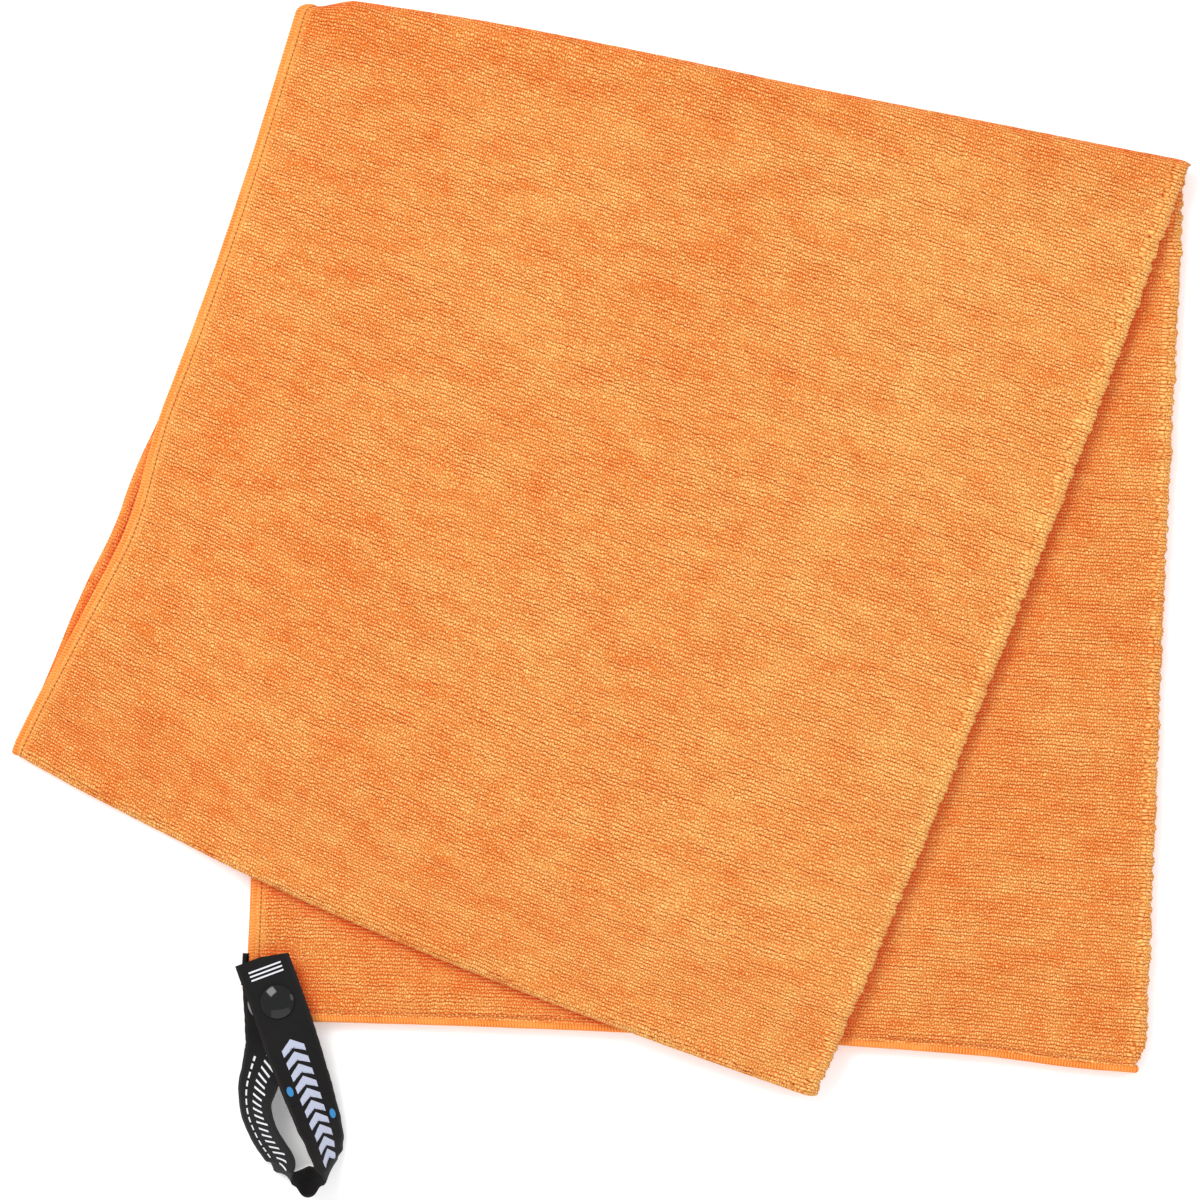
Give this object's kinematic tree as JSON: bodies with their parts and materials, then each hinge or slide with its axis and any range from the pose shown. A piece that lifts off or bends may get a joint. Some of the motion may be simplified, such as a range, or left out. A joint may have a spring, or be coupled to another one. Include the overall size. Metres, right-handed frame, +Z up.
{
  "type": "quick dry towel",
  "caption": "Quick dry travel towel folded into a fanned stack of two panels, with overlocked hems and a ribbon strap with a snap at one corner.",
  "frame": {"origin": "centre of the outline's bounding box, on the surface the towel lies on", "axes": "+Z up, +X along the lower panel's end hem, +Y from the strap towards the top fold"},
  "size_m": [0.4182, 0.4375, 0.0205],
  "materials": {
    "terry": "ribbed knit terry, matte",
    "hem": "overlock stitched edge, matte",
    "thread": "twisted polyester thread",
    "ribbon": "woven polyester ribbon, soft sheen",
    "snap_cap": "glossy black enamel",
    "snap_metal": "dark nickel"
  },
  "bodies": {
    "towel_lower": {"lower_panel_outer_leaf": "terry", "lower_panel_inner_leaf": "terry", "side_hem_1": "hem", "side_hem_2": "hem", "side_hem_3": "hem", "side_hem_4": "hem", "side_topstitch_1": "thread", "side_topstitch_2": "thread", "side_topstitch_3": "thread", "side_topstitch_4": "thread", "end_hem_outer": "hem", "end_hem_inner": "hem", "end_topstitch_1": "thread", "end_topstitch_2": "thread", "end_topstitch_3": "thread", "end_topstitch_4": "thread", "top_fold_inner": "terry", "top_fold_outer": "terry", "strap_root": "ribbon", "root_bartack": "thread"},
    "towel_upper": {"upper_panel_inner_leaf": "terry", "upper_panel_outer_leaf": "terry", "side_hem_5": "hem", "side_hem_6": "hem", "side_hem_7": "hem", "side_hem_8": "hem", "side_topstitch_5": "thread", "side_topstitch_6": "thread", "side_topstitch_7": "thread", "side_topstitch_8": "thread", "bottom_fold": "terry"},
    "strap": {"strap_rear_limb": "ribbon", "strap_bend": "ribbon", "strap_front_limb": "ribbon", "snap_stud": "snap_metal", "snap_back_post": "snap_metal"},
    "pull_tab": {"pull_tab_ribbon": "ribbon", "snap_cap": "snap_cap", "snap_socket": "snap_metal"}
  },
  "joints": [
    {"name": "top_fold", "type": "hinge", "parent": "towel_lower", "child": "towel_upper", "pos_m": [-0.0014, 0.1968, 0.00655], "axis": [-0.9914, 0.1306, 0], "range_deg": [0, 180], "deforming": ["top_fold_inner", "top_fold_outer"]},
    {"name": "strap_swing", "type": "hinge", "parent": "towel_lower", "child": "strap", "pos_m": [-0.1104, -0.1337, 0.008], "axis": [-1, 0, 0], "range_deg": [0, 75]},
    {"name": "pull_tab_fold", "type": "hinge", "parent": "strap", "child": "pull_tab", "pos_m": [-0.09976, -0.16668, 0.01342], "axis": [0.8925, 0.4003, -0.2079], "range_deg": [0, 120]}
  ]
}
